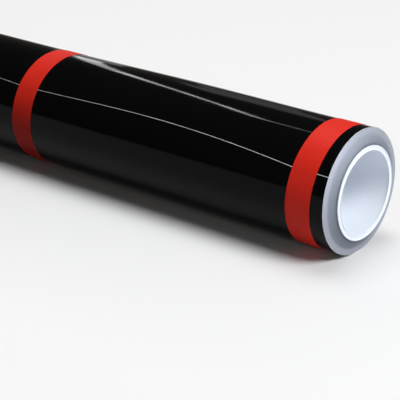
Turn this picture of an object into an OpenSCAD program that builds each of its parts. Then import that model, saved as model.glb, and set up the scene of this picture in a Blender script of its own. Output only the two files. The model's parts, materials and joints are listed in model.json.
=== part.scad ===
// Roll of sign vinyl: a wide web of film on its release liner, wound on a plastic core and
// held shut with bands of tape. X runs along the roll, the free end lies on the -Y side, Z is up.
// Angles round the roll are in degrees from +Y over the top, the way the web is wound.

/* [Web] */
// Width of the film and its liner, the long side of the roll: 54 inch stock
web_w = 1370; // [900:10:1600]
// Thickness of the vinyl face film
film_t = 0.08; // [0.06:0.01:0.12]
// Thickness of the paper release liner under the film
liner_t = 0.12; // [0.08:0.01:0.2]
// How far the liner's cut end shows past the film's, round the roll
liner_lip = 0.5; // [0.2:0.1:1.5]

/* [Roll] */
// Outside diameter of the wound film
roll_d = 115.2; // [110:0.2:170]
// Height of the free end above the roll's middle, as an angle at the axis
free_end_deg = 32; // [10:2:60]
// Depth of the outer turns that lie edge to edge
flush_depth = 1.2; // [1:0.1:2]
// Depth to which the outer turns have slid along only a little
outer_depth = 6.4; // [4:0.1:8]
// Slide of the turn at that depth towards +X
outer_slide = 0.94; // [0:0.02:2]
// Slide of the innermost turn towards +X
inner_slide = 5.3; // [3:0.1:12]
// Depth of the flat on which the roll rests
rest_depth = 0.5; // [0.3:0.1:0.8]

/* [Core] */
// Bore of the core: 3 inches
core_bore_d = 76.2; // [70:0.1:80]
// Wall of the core
core_wall = 4.8; // [3:0.1:6]
// Length of the core: 54 inches
core_len = 1371.6; // [900:0.1:1620]
// How far the core stands out of the innermost turn at the +X end
core_proud = 0.9; // [0:0.1:10]
// Chamfer on the core's end edges
core_chamfer = 0.6; // [0.2:0.1:1]

/* [Start tape] */
// Width round the core of the double-sided strip that holds the start of the web
start_tape_w = 25; // [12:1:50]
// Thickness of that strip
start_tape_t = 0.1; // [0.05:0.01:0.2]
// How far the strip stops short of each edge of the web
start_tape_inset = 10; // [2:1:40]

/* [Bands] */
// Number of tape bands along the roll
band_count = 5; // [2:1:7]
// Width of the band tape: 1 inch
band_w = 25.4; // [12:0.1:50]
// Thickness of the band tape
band_t = 0.13; // [0.05:0.01:0.2]
// From the edge of the web to the middle of the first band
band_inset = 25.9; // [15:0.1:80]
// How far the bands between the first and last stray from even spacing, as they are laid by hand
band_stray = 7.3; // [0:0.1:15]
// How far each band leans: its top lies this far nearer +X than its middle, and its foot as far back
band_lean = 2.8; // [0:0.1:6]
// How far each band's tail laps over its start, round the roll
band_lap_deg = 24; // [10:2:40]
// Where the first band's tail ends, and how far on each next one is
band_tail_deg = 0; // [-20:2:20]
// Turn from one band's tail to the next
band_tail_turn = 8; // [0:2:10]

/* [Hidden] */

web_t = film_t + liner_t;
roll_r = roll_d / 2;
core_r = core_bore_d / 2 + core_wall;
bore_r = core_bore_d / 2;

// Points lie every facet degrees round the roll, counted back from the free end
facet = 2;
turn = 360 / facet;
seam = 180 - free_end_deg;
lip_deg = liner_lip / roll_r * 180 / PI;

// Lengths along X from the outer turn's -X edge, then that edge's own place
core_end = web_w + inner_slide + core_proud;
low_end = min(0, core_end - core_len);
high_end = max(core_end, web_w + inner_slide);
edge_x = -(low_end + high_end) / 2;
band_pitch = (web_w - 2 * band_inset) / (band_count - 1);
axis_z = film_r(-90) + band_t - rest_depth;

// Middle of band i from the outer turn's -X edge
function band_x(i) = let (stray = i == 1 || i == band_count ? 0 : -band_stray * sin(137 * (i - 1)))
    band_inset + band_pitch * (i - 1) + stray;

// Radius of the film's outside at angle a of its last turn
function film_r(a) = roll_r + web_t * (a - seam) / 360;
// Angle of the point that lies k facets on from the free end
function at(k) = seam + facet * k;
// A point of a layer that lies rise above the film's outside, flattened where the roll rests
function on_layer(k, rise) = let (r = film_r(at(k)) + rise)
    [r * cos(at(k)), max(r * sin(at(k)), rest_depth - film_r(-90) - rise)];
function layer(from, to, rise) = [for (k = [from:sign(to - from):to]) on_layer(k, rise)];
// Radius at angle a of the straight facet between points k and k + 1
function facet_r(a, k) = let (r0 = film_r(at(k)), r1 = film_r(at(k + 1)), from = at(k))
    r0 * r1 * sin(facet) / (r0 * sin(a - from) + r1 * sin(from + facet - a));
function polar(r, a) = [r * cos(a), r * sin(a)];

// The lip lies on the facet where the turn below starts again
lip_r = facet_r(seam + lip_deg - 360, -turn);
lip = [polar(lip_r + liner_t, seam + lip_deg), polar(lip_r, seam + lip_deg)];

// Slide of the turns towards +X, as [radius, slide] from the outside in
slide = [
    [roll_r - flush_depth, 0],
    [roll_r - outer_depth, outer_slide],
    [core_r, inner_slide]];

module on_axis(x) translate([x, 0, axis_z]) rotate([90, 0, 90]) children();

// What the turns' slide adds past one end of the web, and takes from the other
module slid_turns(hole_r)
    rotate_extrude($fn = 180) polygon(concat([[hole_r, 0]], slide, [[hole_r, inner_slide]]));

// The start tape's form, in flats whose middles touch the core, from inside_r out
module start_strip(inside_r) {
    strip_len = web_w - 2 * start_tape_inset;
    strip_deg = start_tape_w / core_r * 180 / PI;
    flats = ceil(strip_deg / facet);
    flat_deg = strip_deg / flats;
    outside_r = core_r / cos(flat_deg / 2) + start_tape_t;
    on_axis(edge_x + inner_slide + start_tape_inset) linear_extrude(strip_len) polygon(concat(
        [for (k = [0:flats]) polar(outside_r, k * flat_deg)],
        [for (k = [flats:-1:0]) polar(inside_r / cos(flat_deg / 2), k * flat_deg)]));
}

module core_tube() {
    c = core_chamfer;
    color("white") on_axis(edge_x + core_end - core_len) rotate_extrude($fn = 180) polygon([
        [bore_r + c, 0], [core_r - c, 0], [core_r, c],
        [core_r, core_len - c], [core_r - c, core_len], [bore_r + c, core_len],
        [bore_r, core_len - c], [bore_r, c]]);
}

module core_start_tape() color("wheat") start_strip(core_r);

// All the turns under the last one, as one body with the spiral's step on its outside
module wound_turns() {
    hole_len = web_w + 4 * inner_slide;
    color("slategray") difference() {
        union() {
            on_axis(edge_x) linear_extrude(web_w) polygon(layer(-turn, 0, -web_t));
            on_axis(edge_x + web_w) slid_turns(bore_r);
        }
        on_axis(edge_x) slid_turns(0);
        on_axis(edge_x - inner_slide) cylinder(r = core_r, h = hole_len, $fn = 180);
        start_strip(core_r - start_tape_t);
    }
}

// The last turn's liner, with its cut end showing past the film's
module release_liner()
    color("ivory") on_axis(edge_x) linear_extrude(web_w)
        polygon(concat(layer(-turn, 0, -film_t), lip, layer(0, -turn, -web_t)));

// The last turn's film
module face_film()
    color([0.05, 0.05, 0.055]) on_axis(edge_x) linear_extrude(web_w)
        polygon(concat(layer(-turn, 0, 0), layer(0, -turn, -film_t)));

// One band of tape right round the roll: it bridges the web's free end and laps over its own start
module tape_band(i) {
    tail_end = round((band_tail_deg + band_tail_turn * (i - 1) - seam) / facet);
    tail_from = tail_end - band_lap_deg / facet;
    inside = layer(1 - turn, 0, 0);
    outside = concat(
        layer(1 - turn, tail_from, band_t),
        layer(tail_from + 1, tail_end, 2 * band_t),
        layer(tail_end, 0, band_t));
    lean = atan(band_lean / roll_r);
    sleeve_len = band_w + 3 * band_lean;
    color("crimson") on_axis(edge_x + band_x(i)) intersection() {
        translate([0, 0, -sleeve_len / 2]) linear_extrude(sleeve_len) difference() {
            polygon(outside);
            polygon(inside);
        }
        rotate([lean, 0, 0]) cube([4 * roll_r, 4 * roll_r, band_w * cos(lean)], center = true);
    }
}

core_tube();
core_start_tape();
wound_turns();
release_liner();
face_film();
for (i = [1:band_count])
    tape_band(i);
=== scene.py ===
"""Roll of sign vinyl: the outer turn with its free end, the tape bands, the turns' edges and the core."""
import json
import math

import bpy
import numpy as np
from mathutils import Euler, Matrix, Vector, noise


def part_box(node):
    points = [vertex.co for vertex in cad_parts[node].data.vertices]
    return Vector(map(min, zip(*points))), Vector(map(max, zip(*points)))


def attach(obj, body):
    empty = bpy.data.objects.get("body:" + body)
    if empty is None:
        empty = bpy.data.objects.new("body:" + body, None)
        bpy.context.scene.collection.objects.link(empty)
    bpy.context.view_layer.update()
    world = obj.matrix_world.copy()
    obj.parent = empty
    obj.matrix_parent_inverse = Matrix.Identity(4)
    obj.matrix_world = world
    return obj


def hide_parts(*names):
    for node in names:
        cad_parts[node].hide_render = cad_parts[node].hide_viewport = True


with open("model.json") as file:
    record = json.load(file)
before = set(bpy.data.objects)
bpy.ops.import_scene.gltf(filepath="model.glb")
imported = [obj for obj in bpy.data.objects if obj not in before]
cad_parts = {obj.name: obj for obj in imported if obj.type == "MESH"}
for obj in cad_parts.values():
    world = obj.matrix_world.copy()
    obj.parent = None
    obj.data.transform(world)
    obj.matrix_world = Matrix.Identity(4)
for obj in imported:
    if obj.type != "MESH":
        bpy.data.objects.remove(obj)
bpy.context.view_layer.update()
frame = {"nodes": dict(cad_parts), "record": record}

MM = 0.001
BANDS = 5

# ---------------------------------------------------------------- sizes, from the frame

bore = next(m for m in frame["record"]["mounts"] if m["name"] == "core_bore")
axis_z = bore["pos_m"][2]
bore_r = bore["dims"]["r_mm"] * MM

film_low, film_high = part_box("face_film")
core_low, core_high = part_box("core_tube")
_, turns_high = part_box("wound_turns")
web_x = (film_low[0], film_high[0])
web_w = web_x[1] - web_x[0]
core_x = (core_low[0], core_high[0])
core_r = (core_high[1] - core_low[1]) / 2

film_t = 0.08 * MM
liner_t = 0.12 * MM
web_t = film_t + liner_t
band_t = 0.13 * MM
# Depth of the flat on which the roll rests
rest_depth = 0.5 * MM
# The turns' slide towards +X: none down to the first depth, a little at the second, most at the core
flush_depth, outer_depth = 1.2 * MM, 6.4 * MM
outer_slide, inner_slide = 0.94 * MM, turns_high[0] - web_x[1]

# Angles round the roll are in degrees from +Y over the top, the way the web is wound.
SEAM = 148
BOTTOM = -90
roll_r = film_high[1] + web_t * SEAM / 360
band_boxes = [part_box(f"tape_band_{i + 1}") for i in range(BANDS)]
band_mid = np.array([(low[0] + high[0]) / 2 for low, high in band_boxes])
band_w = 25.4 * MM
# Each band leans: its top lies nearer +X than its foot, by this many metres a metre of height
LEAN = 2.8 / 57.6

# Height of the free end where each band holds it, as an angle at the axis, from the -X end
HELD_DEG = np.array([31.5, 36.5, 33.0, 36.0, 30.4])
# How far the free end bows back between one band and the next
BOW_DEG = np.array([5.0, 4.0, 4.6, 6.0])
# How far the loose outer turn stands off between bands
LOOSE = np.array([0.7, 0.55, 0.65, 0.8]) * MM
# Turn of the film and liner between points, and how far they run on under their own free end
FACET = 2
LAP_DEG = 30
# How far the liner shows past the film's cut end: at the +X edge, and along most of the roll
LIP = (0.5 * MM, 0.36 * MM)
# Places along the roll between which it goes from one to the other
LIP_X = (0.38, 0.63)
# How far a band's tail laps over its start, and the turn from one band's tail to the next
BAND_LAP_DEG = 24
BAND_TAIL_TURN = 8


def smooth(x):
    x = np.clip(x, 0, 1)
    return x * x * (3 - 2 * x)


def span_of(x):
    """For places along the roll: the span between bands that each is in, and how far across it."""
    span = np.clip(np.searchsorted(band_mid, x) - 1, 0, BANDS - 2)
    start = band_mid[span] + band_w / 2
    across = (x - start) / (band_mid[span + 1] - band_w / 2 - start)
    return span, np.clip(across, 0, 1)


def free_end(x):
    """Angle of the film's cut end at places along the roll."""
    span, across = span_of(x)
    slope = (HELD_DEG[span + 1] - HELD_DEG[span]) / (band_mid[span + 1] - band_mid[span])
    held = HELD_DEG[span] + slope * (x - band_mid[span])
    bow = BOW_DEG[span] * np.sin(math.pi * (1 - (1 - across) ** 0.85)) ** 1.15
    return 180 - held - bow


def film_r(angle):
    return roll_r + web_t * (angle - SEAM) / 360


def stand_off(x, angle):
    """How far the outer turn stands off: over the back and top, between bands."""
    span, across = span_of(x)
    loose_here = smooth((angle + 70) / 90) * (1 - 0.35 * smooth((angle - 90) / 60))
    return LOOSE[span] * np.sin(math.pi * across) ** 2 * loose_here


def place(x, angle, r, rise=0.0):
    """Points of a layer that lies rise above the film's outside, with the flat that it rests on."""
    a = np.radians(angle)
    floor = rest_depth - film_r(BOTTOM) - rise
    y = r * np.cos(a)
    z = np.maximum(r * np.sin(a), floor)
    return np.stack([np.broadcast_to(x, r.shape), y, z + axis_z], axis=-1)


# ---------------------------------------------------------------- meshes

def piece(name, points, faces, material, sharp_deg=35):
    mesh = bpy.data.meshes.new(name)
    mesh.from_pydata([tuple(p) for p in points], [], [tuple(f) for f in faces])
    mesh.shade_smooth()
    mesh.set_sharp_from_angle(angle=math.radians(sharp_deg))
    mesh.materials.append(material)
    obj = bpy.data.objects.new(name, mesh)
    bpy.context.collection.objects.link(obj)
    return obj


def grid_faces(rows, columns, first=0, flip=False):
    i, j = np.meshgrid(np.arange(rows - 1), np.arange(columns - 1), indexing="ij")
    a = (first + i * columns + j).ravel()
    quads = np.stack([a, a + 1, a + columns + 1, a + columns], axis=-1)
    return quads[:, ::-1] if flip else quads


def border(rows, columns):
    """The grid's outline, once round."""
    top = list(range(columns))
    right = [i * columns + columns - 1 for i in range(1, rows)]
    bottom = [(rows - 1) * columns + j for j in range(columns - 2, -1, -1)]
    left = [i * columns for i in range(rows - 2, 0, -1)]
    return top + right + bottom + left


def strip(name, outside, inside, material):
    """A closed sheet between two grids of points of one shape."""
    rows, columns = outside.shape[:2]
    count = rows * columns
    rim = border(rows, columns)
    walls = [(a, b, b + count, a + count) for a, b in zip(rim, rim[1:] + rim[:1])]
    faces = np.concatenate([
        grid_faces(rows, columns, flip=True),
        grid_faces(rows, columns, first=count),
        np.array(walls)])
    points = np.concatenate([outside.reshape(-1, 3), inside.reshape(-1, 3)])
    return piece(name, points, faces, material)


def stations():
    """Places along the web: close together beside the bands, and further apart between them."""
    beside = [band_mid + side * (band_w / 2 + off * MM) for side in (-1, 1) for off in (0, 2, 5)]
    even = np.arange(web_x[0], web_x[1], 9 * MM)
    x = np.unique(np.round(np.concatenate([even, [web_x[1]], *beside]), 6))
    return x[(x >= web_x[0]) & (x <= web_x[1])]


def outer_turn():
    """Angles and radii of the film's outside over the last turn and the lap under its end."""
    x = stations()[:, None]
    end = free_end(x)
    start = SEAM - 360 - LAP_DEG
    share = np.linspace(0, 1, round((360 + LAP_DEG) / FACET) + 1)[None, :]
    angle = start + (end - start) * share
    return x, angle, film_r(angle) + stand_off(x, angle)


def face_film(material):
    x, angle, r = outer_turn()
    outside = place(x, angle, r)
    inside = place(x, angle, r - film_t, -film_t)
    return strip("face_film_turn", outside, inside, material)


def release_liner(material):
    """The liner under the film, whose cut end runs on a little past the film's."""
    x, angle, r = outer_turn()
    lip = LIP[1] + (LIP[0] - LIP[1]) * smooth((x - LIP_X[0]) / (LIP_X[1] - LIP_X[0]))
    lip = angle[:, -1:] + np.degrees(lip / roll_r) * np.array([[0.5, 1.0]])
    angle = np.concatenate([angle, lip], axis=1)
    r = np.concatenate([r, r[:, -1:], r[:, -1:]], axis=1)
    outside = place(x, angle, r - film_t, -film_t)
    inside = place(x, angle, r - web_t, -web_t)
    return strip("release_liner_turn", outside, inside, material)


def tape_ripple(i, x, angle):
    """Small unevenness of band i's outside, as a height for each place along and round it."""
    depth, along, around = 0.02 * MM, 90, 7
    a = np.radians(angle)
    return depth * np.array([
        [noise.noise(Vector((u * along, math.cos(v) * around, math.sin(v) * around + 20 * i))) for v in a]
        for u in x])


def tape_band(i, material):
    """A strip of tape right round, which bridges the free end and laps over its own start."""
    rows, facet = 9, 1.5
    ramp_deg, tent_deg = 1.5, 2.5
    clearance = 0.01 * MM
    tail = round((BAND_TAIL_TURN * i - SEAM) / FACET) * FACET + SEAM
    tail_from = tail - BAND_LAP_DEG
    x = band_mid[i] + np.linspace(-band_w / 2, band_w / 2, rows)[:, None]
    angle = np.arange(tail_from - 360, tail + 0.5, facet)[None, :] + 0 * x
    # The web lies a turn further in past its free end, and the tape comes down to it in a short slope
    end = free_end(x)
    web_angle = np.where(angle > end - 360, angle, angle + 360)
    web_angle = np.where(web_angle > end, web_angle - 360, web_angle)
    slope = web_t * smooth(1 - (web_angle + 360 - end) / tent_deg)
    lapped = smooth((angle - tail_from + ramp_deg) / ramp_deg)
    r = film_r(web_angle) + slope + band_t * (1 + lapped)
    outside = place(x, angle, r + tape_ripple(i, x[:, 0], angle[0]), band_t)
    inside = place(x, angle, r - band_t + clearance, 0)
    for side in (outside, inside):
        side[..., 0] += LEAN * (side[..., 2] - axis_z)
    return strip(f"tape_band_{i + 1}_strip", outside, inside, material)


def slid(r):
    """How far the turn at radius r has slid towards +X."""
    radii = [core_r, roll_r - outer_depth, roll_r - flush_depth]
    return np.interp(r, radii, [inner_slide, outer_slide, 0])


def wound_turns(material):
    """All the turns under the last one: a spiral whose turns stand out at one end and in at the other."""
    around = 180
    clearance = 0.02 * MM
    wound = film_r(SEAM) - web_t - core_r
    turns = int(wound / web_t)
    i = np.arange(turns * around + 1)
    turn = i / around
    r = core_r + clearance + wound * turn / (turns + 1)
    angle = SEAM + 360 * turn
    uneven = np.array([noise.noise(Vector((k * 0.9, 0, 3))) for k in turn]) * 0.12 * MM
    edge = slid(r) + uneven * smooth((r - core_r) / MM) * smooth((roll_r - r) / (2 * MM))
    a = np.radians(angle)
    y = r * np.cos(a)
    z = np.maximum(r * np.sin(a), rest_depth - r) + axis_z
    right = np.stack([web_x[1] + edge, y, z], axis=-1)
    left = np.stack([web_x[0] + edge, y, z], axis=-1)
    count = len(i)
    k = np.arange(count - around - 1)
    disc = np.stack([k, k + 1, k + 1 + around, k + around], axis=-1)
    rim_in, rim_out = np.arange(around), np.arange(count - 1 - around, count - 1)
    bore, skin = [
        np.stack([rim + 1, rim, rim + count, rim + count + 1], axis=-1) for rim in (rim_in, rim_out)]
    first, last = 0, count - 1
    steps = np.array([
        [first, first + around, first + around + count, first + count],
        [last, last - around, last - around + count, last + count]])
    faces = np.concatenate([disc[:, ::-1], disc + count, bore[:, ::-1], skin, steps])
    return piece("wound_turns_edges", np.concatenate([right, left]), faces, material, 25)


def core_tube(material):
    """The tube on which the web is wound, with eased ends."""
    ease, around = 0.6 * MM, 192
    x0, x1 = core_x
    corners = [(x1, bore_r, -1, 1), (x1, core_r, -1, -1), (x0, core_r, 1, -1), (x0, bore_r, 1, 1)]
    profile = []
    for x, r, inward_x, inward_r in corners:
        turn = np.radians(np.linspace(0, 90, 5))
        if inward_x * inward_r > 0:
            turn = turn[::-1]
        profile += [
            (x + inward_x * ease * (1 - math.cos(t)), r + inward_r * ease * (1 - math.sin(t))) for t in turn]
    profile = np.array(profile)
    a = 2 * math.pi * np.arange(around) / around
    points = np.stack([
        np.broadcast_to(profile[:, :1], (len(profile), around)),
        profile[:, 1:] * np.cos(a),
        profile[:, 1:] * np.sin(a) + axis_z], axis=-1)
    faces = []
    for k in range(len(profile)):
        ring, next_ring = k * around, (k + 1) % len(profile) * around
        for j in range(around):
            j2 = (j + 1) % around
            faces.append((ring + j, ring + j2, next_ring + j2, next_ring + j))
    return piece("core_tube_shell", points.reshape(-1, 3), faces, material)


# ---------------------------------------------------------------- materials

class Wire:
    """A shader value that takes part in sums: each operator adds a Math node."""

    def __init__(self, nodes, socket):
        self.nodes, self.socket = nodes, socket

    def maths(self, operation, *values):
        return self.nodes.add("Math", {"operation": operation}, dict(enumerate(values)))

    def __add__(self, other):
        return self.maths("ADD", self, other)

    def __sub__(self, other):
        return self.maths("SUBTRACT", self, other)

    def __rsub__(self, other):
        return self.maths("SUBTRACT", other, self)

    def __mul__(self, other):
        return self.maths("MULTIPLY", self, other)

    def __truediv__(self, other):
        return self.maths("DIVIDE", self, other)

    def __pow__(self, other):
        return self.maths("POWER", self, other)

    __radd__ = __add__
    __rmul__ = __mul__

    def fraction(self):
        return self.maths("FRACT", self)

    def cosine(self):
        return self.maths("COSINE", self)

    def at_least(self, low):
        return self.maths("MAXIMUM", self, low)

    def clamp(self, low=0.0, high=1.0):
        return self.nodes.add("Clamp", {}, {"Value": self, "Min": low, "Max": high})

    def between(self, low, high):
        """0 below low, 1 above high, and even in between."""
        return ((self - low) / (high - low)).clamp()


class Nodes:
    """Adds nodes to a tree and links them."""

    def __init__(self, tree):
        self.tree = tree

    def add(self, kind, settings=None, sockets=None, out=0):
        node = self.tree.nodes.new("ShaderNode" + kind)
        for key, value in (settings or {}).items():
            if key == "stops":
                self.set_stops(node.color_ramp, value)
            else:
                setattr(node, key, value)
        for key, value in (sockets or {}).items():
            self.feed(node.inputs[key], value)
        return Wire(self, node.outputs[out])

    def set_stops(self, ramp, stops):
        while len(ramp.elements) < len(stops):
            ramp.elements.new(1.0)
        for element, (position, colour) in zip(ramp.elements, stops):
            element.position = position
            element.color = (*colour, 1.0)

    def feed(self, socket, value):
        if isinstance(value, Wire):
            self.tree.links.new(value.socket, socket)
        else:
            socket.default_value = value

    def split(self, vector):
        """The X, Y and Z of a vector."""
        first = self.add("SeparateXYZ", {}, {0: vector})
        return [Wire(self, output) for output in first.socket.node.outputs]

    def where(self):
        return self.add("TexCoord", out="Object")

    def mottle(self, scale, detail=3.0, roughness=0.5, stretch=(1, 1, 1)):
        """Noise from 0 to 1, with scale in lumps a metre."""
        spread = self.add("VectorMath", {"operation": "MULTIPLY"}, {0: self.where(), 1: stretch})
        return self.add("TexNoise", {}, {
            "Vector": spread, "Scale": scale, "Detail": detail, "Roughness": roughness})

    def mix(self, share, first, second):
        """A colour that goes from first to second as share goes from 0 to 1."""
        first, second = [c if isinstance(c, Wire) else (*c, 1.0) for c in (first, second)]
        return self.add("Mix", {"data_type": "RGBA"}, {0: share, 6: first, 7: second}, out=2)

    def bump(self, height, depth, strength=1.0):
        """A bump of that depth in metres, for a height from 0 to 1."""
        return self.add("Bump", {}, {"Height": height, "Distance": depth, "Strength": strength})


def socket_name(key):
    return key.replace("_", " ").title().replace("Ior", "IOR")


class Finish(Nodes):
    """A material in the making: its nodes, and the surface shader that they feed."""

    def __init__(self, name, **constants):
        self.material = bpy.data.materials.new(name)
        self.material.use_nodes = True
        super().__init__(self.material.node_tree)
        self.shader = self.tree.nodes["Principled BSDF"]
        for key, value in constants.items():
            self.shader.inputs[socket_name(key)].default_value = value

    def surface(self, **fed):
        for key, value in fed.items():
            self.feed(self.shader.inputs[socket_name(key)], value)

    def round_the_axis(self):
        """Radius and angle (in turns) of each place about the roll's axis."""
        _, y, z = self.split(self.where())
        up = z - axis_z
        return (y * y + up * up) ** 0.5, up.maths("ARCTAN2", up, y) / (2 * math.pi)


def black_vinyl():
    f = Finish("gloss_black_vinyl", specular_ior_level=0.065)
    cloud = f.mottle(14, stretch=(0.3, 1, 1))
    scuff = f.mottle(260, 4, 0.7, stretch=(0.15, 1, 1)).between(0.56, 0.75)
    f.surface(
        base_color=f.mix(cloud, (0.0022, 0.0022, 0.0025), (0.0038, 0.0038, 0.0042)),
        roughness=0.05 + cloud * 0.04 + scuff * 0.05,
        normal=f.bump(f.mottle(55, 2, 0.4), 0.05 * MM, 0.4))
    return f.material


def liner_paper():
    f = Finish("release_liner_paper", specular_ior_level=0.4)
    fibre = f.mottle(1800, 4, 0.6)
    f.surface(
        base_color=f.mix(fibre, (0.78, 0.78, 0.76), (0.9, 0.9, 0.89)),
        roughness=0.55 + fibre * 0.15,
        normal=f.bump(fibre, 0.01 * MM))
    return f.material


def web_edges():
    """Edges of film and liner, turn on turn: dark and white lines too fine to part from a step away."""
    f = Finish("web_edges", specular_ior_level=0.3)
    radius, angle = f.round_the_axis()
    phase = (radius / web_t - angle).fraction()
    film_line = phase.between(0.3, 0.42) - phase.between(0.75, 0.87)
    depth = (roll_r - radius) / (roll_r - core_r)

    def sheen(degrees, power):
        """Painted sheen: how the cut edges catch light, painted into their colour: most at one angle round
        the roll, less away from it.
        """
        return (angle * (2 * math.pi) - math.radians(degrees)).cosine().between(0, 1) ** power

    # Painted sheen, brightest at one angle round the roll: one lobe on the outer flush ring, one on the inner
    # cone
    flush = 0.70 + 0.30 * sheen(130, 4)
    cone = 0.64 + 0.36 * sheen(120, 2)
    painted_sheen = flush + (cone - flush) * depth.between(0.35, 0.6)
    # Grey of the edges, lighter at the outer ring and darker inwards: painted shading, darkest beside the
    # core as painted shadow from the core's proud end
    tone = f.add("ValToRGB", {"stops": [
        (0.0, (0.61, 0.645, 0.75)), (0.32, (0.565, 0.60, 0.69)), (0.52, (0.38, 0.415, 0.495)),
        (0.85, (0.30, 0.335, 0.40)), (1.0, (0.127, 0.138, 0.17))]}, {0: depth})
    # The painted sheen darkens the edges' grey away from its bright angle
    tone = f.mix(painted_sheen, (0.0, 0.0, 0.0), tone)
    dark = f.mix(0.5, tone, (0.05, 0.05, 0.06))
    soil = f.mottle(60, 3)
    f.surface(
        base_color=f.mix(film_line * 0.45 + soil * 0.1, tone, dark),
        roughness=0.6 - film_line * 0.15,
        normal=f.bump(film_line, 0.03 * MM, 0.5))
    return f.material


def core_plastic():
    f = Finish("white_core_plastic", specular_ior_level=0.5)
    drawn = f.mottle(900, 3, 0.5, stretch=(0.02, 1, 1))
    cloud = f.mottle(25, 3)
    f.surface(
        base_color=f.mix(cloud, (0.84, 0.89, 0.96), (0.87, 0.915, 0.98)),
        roughness=0.32 + drawn * 0.16,
        normal=f.bump(drawn, 0.02 * MM, 0.5))
    return f.material


def band_tape():
    f = Finish("red_band_tape", specular_ior_level=0.12)
    cloud = f.mottle(30, 3)
    grain = f.mottle(1400, 3, 0.6)
    f.surface(
        base_color=f.mix(cloud, (0.67, 0.021, 0.011), (0.75, 0.030, 0.016)),
        roughness=0.42 + grain * 0.16,
        normal=f.bump(grain, 0.008 * MM))
    return f.material


def start_tape():
    f = Finish("double_sided_tape", specular_ior_level=0.4)
    strands = f.mottle(500, 3, 0.6, stretch=(0.05, 1, 1))
    f.surface(
        base_color=f.mix(strands, (0.70, 0.60, 0.38), (0.82, 0.74, 0.54)),
        roughness=0.4 + strands * 0.2)
    return f.material


def floor_paint():
    """Pale round the roll and grey far off; most of the light that it would throw back is held."""
    f = Finish("pale_floor", specular_ior_level=0.0, roughness=0.9, emission_strength=1.0)
    x, y, _ = f.split(f.where())
    past_end = ((x * x) ** 0.5 - web_w / 2).at_least(0)
    from_roll = (past_end * past_end + y * y) ** 0.5
    camera_ray = f.add("LightPath", out="Is Camera Ray")
    outputs = camera_ray.socket.node.outputs
    seen = (camera_ray + Wire(f, outputs["Is Glossy Ray"]) + Wire(f, outputs["Is Transmission Ray"])).clamp()
    # Bare floor keeps the roll's shadow, and further out it shines a little by itself, up to far off
    open_floor = from_roll.between(0.04, 0.28)
    far = from_roll.between(1.2, 2.5)
    near_paint = f.mix(open_floor, (0.80, 0.80, 0.80), (0.20, 0.20, 0.20))
    painted = f.mix(far, near_paint, (0.12, 0.115, 0.11))
    # Past the +X end it throws light back into the core
    thrown_back = f.mix(x.between(0.5, 0.75), (0.05, 0.05, 0.05), (0.64, 0.66, 0.70))
    f.surface(
        base_color=f.mix(seen, thrown_back, painted),
        emission_color=f.mix(seen * open_floor * (1 - far), (0.0, 0.0, 0.0), (0.72, 0.72, 0.72)))
    return f.material


# ---------------------------------------------------------------- the roll

def dress(obj, node):
    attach(obj, "root")
    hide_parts(node)


dress(face_film(black_vinyl()), "face_film")
dress(release_liner(liner_paper()), "release_liner")
dress(wound_turns(web_edges()), "wound_turns")
dress(core_tube(core_plastic()), "core_tube")
tape = band_tape()
for number in range(BANDS):
    dress(tape_band(number, tape), f"tape_band_{number + 1}")
for slot in frame["nodes"]["core_start_tape"].material_slots:
    slot.material = start_tape()

# ---------------------------------------------------------------- floor, light and camera

bpy.ops.mesh.primitive_plane_add(size=60)
floor = bpy.context.object
floor.name = "floor"
floor.data.materials.append(floor_paint())


def studio_world():
    world = bpy.data.worlds.new("studio")
    world.use_nodes = True
    bpy.context.scene.world = world
    nodes = Nodes(world.node_tree)
    _, _, height = nodes.split(nodes.add("TexCoord", out="Generated"))
    tone = nodes.add("ValToRGB", {"stops": [
        (0.0, (0.11, 0.09, 0.075)), (0.35, (0.06, 0.052, 0.045)),
        (0.65, (0.03, 0.028, 0.028)), (1.0, (0.02, 0.02, 0.022))]}, {0: height})
    nodes.feed(nodes.tree.nodes["Background"].inputs["Color"], tone)


def area_lamp(name, size, power, colour=(1, 1, 1)):
    lamp = bpy.data.lights.new(name, "AREA")
    lamp.shape = "RECTANGLE"
    lamp.size, lamp.size_y = size
    lamp.energy = power
    lamp.color = colour
    obj = bpy.data.objects.new(name, lamp)
    obj.visible_camera = False
    bpy.context.collection.objects.link(obj)
    return obj


def softbox(name, at, towards, size, power, colour=(1, 1, 1)):
    obj = area_lamp(name, size, power, colour)
    obj.location = at
    obj.rotation_euler = (Vector(towards) - Vector(at)).to_track_quat("-Z", "Y").to_euler()


def strip_light(name, foot, head, width, radiance):
    """A narrow softbox on the wall, square on to the roll, whose reflection sweeps along the film."""
    foot, head = [Vector((x, WALL_Y, z)) for x, z in (foot, head)]
    middle = (foot + head) / 2
    along = (head - foot).normalized()
    facing = Vector((web_x[1] * 0.5, 0, axis_z)) - middle
    facing = (facing - facing.dot(along) * along).normalized()
    length = (head - foot).length
    obj = area_lamp(name, (width, length), radiance * math.pi * width * length)
    turned = Matrix((along.cross(-facing), along, -facing)).transposed()
    obj.matrix_world = Matrix.LocRotScale(middle, turned, None)


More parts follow.
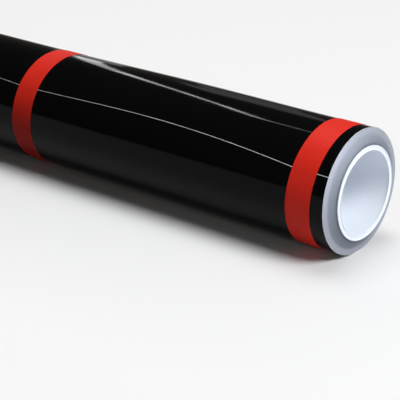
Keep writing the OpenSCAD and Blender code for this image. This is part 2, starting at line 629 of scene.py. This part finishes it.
# The wall behind the roll that the strips stand on
WALL_Y = 1.5
# The strip's bends, as X and Z on the wall, from its foot up, and each stretch's width and radiance
BENDS = [(-0.95, 0.02), (-1.02, 0.5), (-1.27, 1.35), (-1.55, 2.3), (-1.83, 3.1), (-2.46, 4.42), (-2.15, 4.32)]
STRETCHES = [(0.16, 0.45), (0.06, 4.2), (0.06, 9.8), (0.06, 16.8), (0.06, 24.4), (0.06, 14.5)]

studio_world()
softbox("key_softbox", (2.3, -0.1, 1.9), (0.5, 0, 0.05), (1.0, 1.0), 58, (0.97, 0.985, 1.0))
softbox("top_softbox", (0.1, 0.4, 2.6), (0.0, 0.1, 0), (1.4, 1.4), 30)
softbox("fill_softbox", (1.5, -0.8, 0.45), (0.65, 0, 0.05), (0.5, 0.5), 1.6)
for foot, head, (width, radiance) in zip(BENDS, BENDS[1:], STRETCHES):
    strip_light("strip_light", foot, head, width, radiance)
# The second and third stretches fade out along their -X side
for shift, share in ((0.04, 0.3), (0.06, 0.08)):
    for k in (1, 2):
        foot, head = [(x - shift, z) for x, z in BENDS[k:k + 2]]
        strip_light("strip_edge", foot, head, 0.02, share * STRETCHES[k][1])
# Two dim patches of wall, which show along the top of the film at the +X end
strip_light("wall_light", (-0.50, 0.33), (-0.52, 0.66), 0.24, 0.2)
strip_light("wall_light", (-0.56, 0.66), (-0.60, 1.08), 0.34, 0.42)

AZIMUTH, ELEVATION = 39.19, 22.52
# The camera's place from the middle of the +X end, in radii of the roll
CAMERA_PLACE = Vector((10.356, -16.518, 7.885))
camera_data = bpy.data.cameras.new("camera")
camera_data.lens = 124.6
camera_data.sensor_width = 36
camera_data.clip_end = 200
camera = bpy.data.objects.new("camera", camera_data)
camera.location = Vector((web_x[1], 0, axis_z)) + roll_r * CAMERA_PLACE
camera.rotation_euler = Euler((math.radians(90 - ELEVATION), 0, math.radians(AZIMUTH)))
bpy.context.collection.objects.link(camera)
bpy.context.scene.camera = camera
bpy.context.scene.view_settings.view_transform = "Standard"
